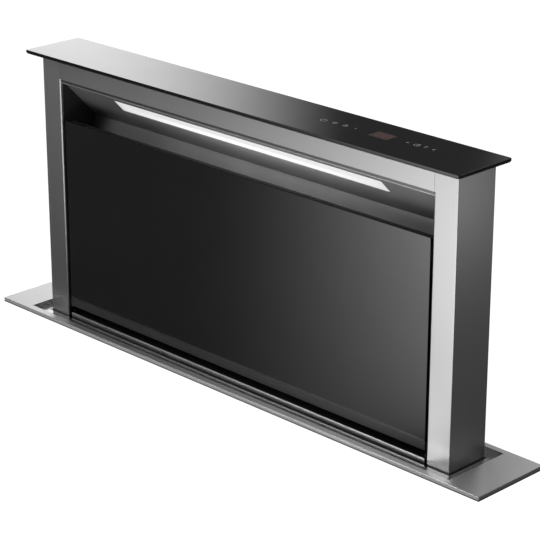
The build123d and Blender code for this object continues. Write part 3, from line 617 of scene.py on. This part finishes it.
def display_digits():
    """Two digits of seven bars, both showing 0, so that their middle bars are dark."""
    mesh = bmesh.new()
    low = display_y[0] + digit_foot
    middle, top = low + digit_high / 2, low + digit_high
    for left in digit_lefts:
        right = left + digit_wide
        for run in (
            ((left + digit_gap, low), (right - digit_gap, low)),
            ((left + digit_gap, top), (right - digit_gap, top)),
            ((left, low + digit_gap), (left, middle - digit_gap / 2)),
            ((left, middle + digit_gap / 2), (left, top - digit_gap)),
            ((right, low + digit_gap), (right, middle - digit_gap / 2)),
            ((right, middle + digit_gap / 2), (right, top - digit_gap)),
        ):
            ribbon(mesh, run, digit_bar, mark_level)
    return mesh


settle(display_window(), "display_window", display_dark, "tower", "black_glass")
settle(display_digits(), "display_digits", mark_red, "tower", "lamp_white")


# What repeats: grown by node trees, then kept as plain meshes


class Growth(Nodes):
    """A tree of Geometry Nodes, and the plain meshes that it grows."""

    def __init__(self, name, **inputs):
        super().__init__(bpy.data.node_groups.new(name, "GeometryNodeTree"))
        face = self.tree.interface
        face.new_socket("Geometry", in_out="INPUT", socket_type="NodeSocketGeometry")
        face.new_socket("Geometry", in_out="OUTPUT", socket_type="NodeSocketGeometry")
        self.keys = {
            label: face.new_socket(
                label, in_out="INPUT", socket_type="NodeSocket" + kind,
            ).identifier
            for label, kind in inputs.items()
        }
        self.entry = self.tree.nodes.new("NodeGroupInput")

    def given(self, name):
        """One of the tree's own inputs."""
        return Field(self, self.entry.outputs[name])

    def close(self, geometry):
        """Ends the tree: instances made real, and the piece's own material set."""
        real = self.node("GeometryNodeRealizeInstances", {}, {"Geometry": geometry})
        worn = self.node("GeometryNodeSetMaterial", {}, {
            "Geometry": real, "Material": self.given("Material"),
        })
        self.node("NodeGroupOutput", {}, {"Geometry": worn})

    def grow(self, name, points, material, **values):
        """The mesh that the tree makes from points and its named inputs."""
        seed_mesh = bpy.data.meshes.new(name + "_points")
        seed_mesh.from_pydata(points, [], [])
        seed = bpy.data.objects.new(name + "_seed", seed_mesh)
        scene.collection.objects.link(seed)
        growth = seed.modifiers.new("growth", "NODES")
        growth.node_group = self.tree
        for label, value in dict(values, Material=material).items():
            growth[self.keys[label]] = value
        bpy.context.view_layer.update()
        finished = seed.evaluated_get(bpy.context.evaluated_depsgraph_get())
        grown = bpy.data.meshes.new_from_object(finished)
        seed.modifiers.clear()
        bpy.data.objects.remove(seed)
        grown.name = name
        return grown


# Shares of a screw head's radius: its top, the arms of its recess, and where the recess ends
head_top, arm_reach, recess_limit = 0.76, 0.56, 0.5
# The recess's mouth as a share of the top, its depth as a share of the height, and its arms' slant
mouth_scale, recess_depth, arm_angle = 0.5, 0.55, math.radians(15)
never_zero = 1e-6


def screw_tree():
    """A pan-headed screw with a cross recess, seated on each point."""
    tree = Growth(
        "cross_recess_screws", Radius="Float", Height="Float", Facing="Vector",
        Material="Material",
    )
    radius, height = tree.given("Radius"), tree.given("Height")
    head = tree.node("GeometryNodeMeshCone", {"fill_type": "NGON"}, {
        "Vertices": 24, "Radius Top": radius * head_top, "Radius Bottom": radius, "Depth": height,
    }, output="Mesh")
    rim = tree.node("GeometryNodeExtrudeMesh", {"mode": "FACES"}, {
        "Mesh": head, "Selection": head.beside("Top"), "Offset Scale": 0.0,
    }, output="Mesh")
    mouth = tree.node("GeometryNodeScaleElements", {"domain": "FACE"}, {
        "Geometry": rim, "Selection": rim.beside("Top"), "Scale": mouth_scale,
    })
    recess = tree.node("GeometryNodeExtrudeMesh", {"mode": "FACES"}, {
        "Mesh": mouth, "Selection": rim.beside("Top"), "Offset Scale": height * -recess_depth,
    }, output="Mesh")

    # The recess starts round. Its corners move out to a cross's arms, or in to the nooks between.
    place = tree.node("GeometryNodeInputPosition")
    x = tree.node("ShaderNodeSeparateXYZ", {}, {0: place}, output="X")
    wide, deep = abs(x), abs(x.beside("Y"))
    arm_length = radius * arm_reach
    arm_width = arm_length * math.tan(arm_angle)
    nearer = tree.reckon("MAXIMUM", tree.reckon("MINIMUM", wide, deep), never_zero)
    to_end = arm_length / tree.reckon("MAXIMUM", wide, deep)
    stretch = tree.reckon("MINIMUM", to_end, arm_width / nearer)
    from_axis = tree.node("ShaderNodeVectorMath", {"operation": "LENGTH"}, {
        0: tree.node("ShaderNodeCombineXYZ", {}, {0: wide, 1: deep}),
    }, output="Value")
    moved = tree.node("ShaderNodeVectorMath", {"operation": "MULTIPLY"}, {
        0: place, 1: tree.node("ShaderNodeCombineXYZ", {}, {0: stretch, 1: stretch, 2: 1.0}),
    })
    crossed = tree.node("GeometryNodeSetPosition", {}, {
        "Geometry": recess, "Position": moved,
        "Selection": tree.reckon("LESS_THAN", from_axis, radius * recess_limit),
    })
    tree.close(tree.node("GeometryNodeInstanceOnPoints", {}, {
        "Points": tree.given("Geometry"), "Instance": crossed,
        "Rotation": tree.node("FunctionNodeAlignRotationToVector", {"axis": "Z"}, {
            "Vector": tree.given("Facing"),
        }),
    }))
    return tree


def mesh_tree():
    """Expanded sheet: rows of diamond links that share their tips."""
    tree = Growth(
        "expanded_mesh", Columns="Int", Rows="Int", Link_Width="Float", Link_Height="Float",
        Strand="Float", Thickness="Float", Material="Material",
    )
    wide, high = tree.given("Link_Width"), tree.given("Link_Height")
    columns, rows = tree.given("Columns"), tree.given("Rows")
    half_high = high * 0.5
    link = tree.node("GeometryNodeCurvePrimitiveQuadrilateral", {"mode": "KITE"}, {
        "Width": wide, "Bottom Height": half_high, "Top Height": half_high,
    })
    strand = tree.node("GeometryNodeCurvePrimitiveQuadrilateral", {"mode": "RECTANGLE"}, {
        "Width": tree.given("Strand"), "Height": tree.given("Thickness"),
    })
    grid = tree.node("GeometryNodeMeshGrid", {}, {
        "Vertices X": columns, "Vertices Y": rows,
        "Size X": wide * (columns - 1), "Size Y": high * (rows - 1),
    }, output="Mesh")
    sheet = tree.node("GeometryNodeInstanceOnPoints", {}, {
        "Points": grid,
        "Instance": tree.node("GeometryNodeCurveToMesh", {}, {
            "Curve": link, "Profile Curve": strand,
        }),
    })
    upright = tree.node("GeometryNodeTransform", {}, {
        "Geometry": sheet, "Rotation": (math.pi / 2, 0.0, 0.0),
    })
    tree.close(tree.node("GeometryNodeInstanceOnPoints", {}, {
        "Points": tree.given("Geometry"), "Instance": upright,
    }))
    return tree


# Screws and rivets: places are in millimetres, and sizes are a head's radius and height

screws = screw_tree()
large_screw, middle_screw, small_screw = (3.5, 2.4), (3.2, 1.8), (2.8, 1.6)
rivet = (2.6, 0.35)
FRONT, BACK = (0.0, -1.0, 0.0), (0.0, 1.0, 0.0)


def screw_row(name, places, facing, size, *stands_for,
              material=drawn_steel, body="root", slot="zinc_steel"):
    """Screws on a face: places are the middles of their heads' undersides."""
    radius, height = size
    seats = [Vector(place) * MM for place in places]
    grown = screws.grow(
        name, seats, material, Radius=radius * MM, Height=height * MM, Facing=facing,
    )
    settle(grown, name, material, body, slot, *stands_for)


def box_mm(corners):
    """The low and high corners of a box, in millimetres."""
    return [corner / MM for corner in corners]


def ends(box, axis, inset):
    """Two places along an axis, just inside the ends of a box."""
    low, high = (getattr(corner, axis) for corner in box)
    return low + inset, high - inset


def rows_of(columns, face, heights):
    """Places on a face, where every column meets every height."""
    return [(x, face, z) for x in columns for z in heights]


flange_sheet, cover_sheet = 1, 1.2
cover_inset, seam_inset, rivet_inset = 8, 7, 6

flange_face = box_mm(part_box("blower_box"))[1].y - flange_sheet
flange_columns, flange_heights = (-200, -70, 70, 200), (-525, -240)
screw_row(
    "blower_flange_screws", rows_of(flange_columns, flange_face, flange_heights),
    FRONT, large_screw, "blower_screws",
)

cover = box_mm(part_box("blower_cover"))
cover_face = cover[1].y - cover_sheet
cover_ends, cover_heights = ends(cover, "x", cover_inset), ends(cover, "z", cover_inset)
cover_columns = (cover_ends[0], -105, 0, 105, cover_ends[1])
cover_middle = -382
screw_row(
    "blower_cover_screws",
    rows_of(cover_columns, cover_face, cover_heights)
    + rows_of(cover_ends, cover_face, [cover_middle]),
    FRONT, middle_screw,
)

seam_heights = (-500, -400, -300, -200, -100, -25)
casing_front_face, casing_rear_face = -37, 45
front_seams = ends(box_mm(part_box("casing_front")), "x", seam_inset)
rear_seams = ends(box_mm(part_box("casing_rear")), "x", seam_inset)
box_foot, box_head = -305, -115  # the electronics box covers the left seam between these
screw_row(
    "casing_front_screws",
    [(x, y, z) for x, y, z in rows_of(front_seams, casing_front_face, seam_heights)
     if x > 0 or not box_foot < z < box_head],
    FRONT, middle_screw,
)
screw_row(
    "casing_rear_screws", rows_of(rear_seams, casing_rear_face, seam_heights),
    BACK, middle_screw,
)

hatch = box_mm(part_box("electronics_cover"))
screw_row(
    "electronics_cover_screws",
    rows_of(ends(hatch, "x", cover_inset), hatch[0].y, ends(hatch, "z", cover_inset)),
    FRONT, small_screw,
)

rear_sheet = box_mm(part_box("rear_cover"))
rivet_heights = (40, 120, 200, 280, 360)
screw_row(
    "rear_cover_rivets",
    rows_of(ends(rear_sheet, "x", rivet_inset), rear_sheet[1].y, rivet_heights),
    BACK, rivet, material=rear_steel, body="tower", slot="stainless",
)


# Expanded mesh in the two grease filters

expanded = mesh_tree()
link_wide, link_high = 8 * MM, 5 * MM
strand, thickness = 0.8 * MM, 0.7 * MM
filter_edge, latch_edge = 10 * MM, 20 * MM
mesh_depth = 1.0 * MM
for side in ("left", "right"):
    low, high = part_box(side + "_filter")
    wide = high.x - low.x - 2 * filter_edge
    tall = high.z - low.z - filter_edge - latch_edge
    middle = ((low.x + high.x) / 2, low.y + mesh_depth, low.z + filter_edge + tall / 2)
    grown = expanded.grow(
        side + "_filter_mesh", [middle], filter_aluminium,
        Columns=int(wide / link_wide), Rows=int(tall / link_high),
        Link_Width=link_wide, Link_Height=link_high, Strand=strand, Thickness=thickness,
    )
    settle(grown, side + "_filter_mesh", filter_aluminium, "tower", "mesh_aluminium")


# Stage: a pale worktop with the cut-out for the casing, and a floor under the legs

worktop_depth = 40.5 * MM
worktop_span = ((-0.62, 0.95), (-0.80, 0.20))
cutout = ((-0.400, 0.400), (-0.054, 0.055))
floor_reach, floor_depth, floor_gap = 12, 20 * MM, 1 * MM
shown_white = 1.05


def pale_stage(name, light):
    """Plain white to the camera, and a soft pale grey to the light that falls on it."""
    material = bpy.data.materials.new(name)
    material.use_nodes = True
    nodes = Nodes(material.node_tree)
    nodes.tree.nodes.clear()
    nodes.show_apart(
        nodes.node("ShaderNodeEmission", {}, {"Strength": shown_white}),
        nodes.node("ShaderNodeBsdfDiffuse", {}, {"Color": grey(light)}),
        "ShaderNodeOutputMaterial",
    )
    return material


def stage_piece(mesh, name, material):
    """Turns a bmesh into an object for the stage, with one finish."""
    thing = stand_up(mesh, name, material)
    return thing


white = pale_stage("plain_white", 0.75)
board = bmesh.new()
(left, right), (front, back) = worktop_span
(cut_left, cut_right), (cut_front, cut_back) = cutout
for x, y in (
    ((left, right), (front, cut_front)), ((left, right), (cut_back, back)),
    ((left, cut_left), (cut_front, cut_back)), ((cut_right, right), (cut_front, cut_back)),
):
    slab(board, x, y, (-worktop_depth, 0))
worktop = stage_piece(board, "stage_worktop", white)
ground = bmesh.new()
floor_top = cad_box[0].z - floor_gap
floor_span = (-floor_reach, floor_reach)
slab(ground, floor_span, floor_span, (floor_top - floor_depth, floor_top))
floor = stage_piece(ground, "stage_floor", white)
worktop.visible_glossy = False
floor.visible_glossy = False
floor.visible_camera = False


# Light


def soft_light(name, at, aim, size, radiance, fade=(1.5, 1.5)):
    """A rectangular light with faded edges, which shows in reflections but not to the camera."""
    data = bpy.data.lights.new(name, "AREA")
    data.shape = "RECTANGLE"
    data.size, data.size_y = size
    data.energy = radiance * size[0] * size[1] * math.pi
    data.use_nodes = True
    nodes = Nodes(data.node_tree)
    across = nodes.node("ShaderNodeSeparateXYZ", {}, {
        0: nodes.node("ShaderNodeNewGeometry", output="Parametric"),
    })
    hills = [side * (1 - side) * 4 for side in (across, across.beside("Y"))]
    nodes.fill(nodes.tree.nodes["Emission"], {
        "Strength": hills[0] ** fade[0] * hills[1] ** fade[1],
    })
    light = bpy.data.objects.new(name, data)
    scene.collection.objects.link(light)
    light.location = at
    light.rotation_euler = (Vector(aim) - Vector(at)).to_track_quat("-Z", "Y").to_euler()
    light.visible_camera = False
    return light


def light_only(light, things):
    """Keeps a light to some pieces, such as those that the worktop hides from the studio."""
    group = bpy.data.collections.new(light.name + "_lights")
    for thing in things:
        group.objects.link(thing)
    light.light_linking.receiver_collection = group


# Each light's place, aim, size, radiance and, where it isn't the usual one, fade
studio = {
    "key": ((-1.2, -1.7, 2.0), (0.0, 0.0, 0.1), (1.3, 1.3), 14.0),
    "overhead": ((0.0, -0.1, 2.4), (0.0, 0.0, 0.0), (1.6, 1.6), 6.0),
    "back_left_softbox": ((-2.62, 1.8, 1.13), (-2.62, -0.5, 1.13), (2.2, 1.6), 2.7),
    "front_left_wall": ((-1.5, -2.1, 0.55), (0.0, 0.0, 0.2), (1.0, 1.1), 2.4),
    "back_right_edge": ((1.15, 2.0, 2.05), (0.0, 0.0, 0.1), (0.7, 0.7), 1.6),
    "rear_fill": ((-0.6, 2.4, 1.0), (0.0, 0.0, 0.1), (1.6, 1.6), 2.5),
    "right_side_fill": ((0.85, 0.25, 0.25), (0.37, 0.0, 0.25), (0.4, 0.5), 0.35),
    "right_side_glint": ((0.70, 0.235, 0.25), (0.386, -0.02, 0.35), (0.12, 0.20), 1.8),
    "lamp_on_baffle": ((0.0, -0.008, 0.322), (0.0, 0.05, 0.29), (0.50, 0.02), 4.0),
    "lamp_on_strip": ((0.0, 0.012, 0.288), (0.0, -0.035, 0.0), (0.50, 0.035), 1.2),
    "floor_card": ((-0.032, -1.093, 0.004), (0.0, 0.0, 0.0), (1.80, 1.91), 3.6, (3.6, 0.35)),
    "plate_edge_card": (
        (0.0, -0.0645, 0.001), (0.0, -0.0645, 1.0), (1.0, 0.006), 0.45, (0.1, 0.1),
    ),
    "column_foot_card": (
        (0.271, -0.124, 0.0062), (0.0, 0.0, 0.0), (0.07, 0.235), 1.15, (1.0, 0.06),
    ),
}
lights = {name: soft_light(name, *setting) for name, setting in studio.items()}

# Two cards lie flat and face up, turned about the upright axis
card_turn = (math.pi, 0.0, math.radians(-45))
lights["floor_card"].rotation_euler = card_turn
lights["column_foot_card"].rotation_euler = card_turn

shown = frame["nodes"]
light_only(lights["column_foot_card"], [shown["right_column"]])
light_only(lights["right_side_glint"], [shown["right_column"]])
light_only(lights["plate_edge_card"], [shown["worktop_plate"], shown["worktop_gasket"]])

highest_under = 2 * MM
under_worktop = [
    thing for thing in scene.collection.all_objects
    if thing.type == "MESH" and max(corner[2] for corner in thing.bound_box) < highest_under
]
low_fill_size = (1.6, 1.0)
for name, at, aim, radiance in (
    ("low_front_fill", (-1.0, -2.2, -0.1), (0.0, -0.1, -0.28), 5.5),
    ("low_rear_fill", (0.9, 2.2, -0.1), (0.0, 0.1, -0.28), 6.5),
    ("low_right_fill", (2.3, -0.6, -0.9), (0.1, -0.1, -0.3), 5.0),
    ("low_left_fill", (-2.3, 0.4, -0.2), (-0.1, 0.0, -0.3), 5.0),
):
    light_only(soft_light(name, at, aim, low_fill_size, radiance), under_worktop)

world = bpy.data.worlds.new("studio")
scene.world = world
world.use_nodes = True
sky = Nodes(world.node_tree)
sky.tree.nodes.clear()
sky.show_apart(
    sky.node("ShaderNodeBackground", {}, {"Color": grey(1.0), "Strength": shown_white}),
    sky.node("ShaderNodeBackground", {}, {"Color": grey(1.0), "Strength": 0.07}),
    "ShaderNodeOutputWorld",
)


# Camera, solved from the photo's edges

scene.view_settings.view_transform = "Standard"

camera_data = bpy.data.cameras.new("camera")
camera_data.lens = 138.1
camera_data.sensor_width = 36.0
camera_data.clip_start, camera_data.clip_end = 0.1, 60.0
camera = bpy.data.objects.new("camera", camera_data)
scene.collection.objects.link(camera)
camera.location = (1.8226, -1.7650, 1.1182)
camera.rotation_euler = (math.radians(69.183), 0.0, math.radians(45.273))
scene.camera = camera
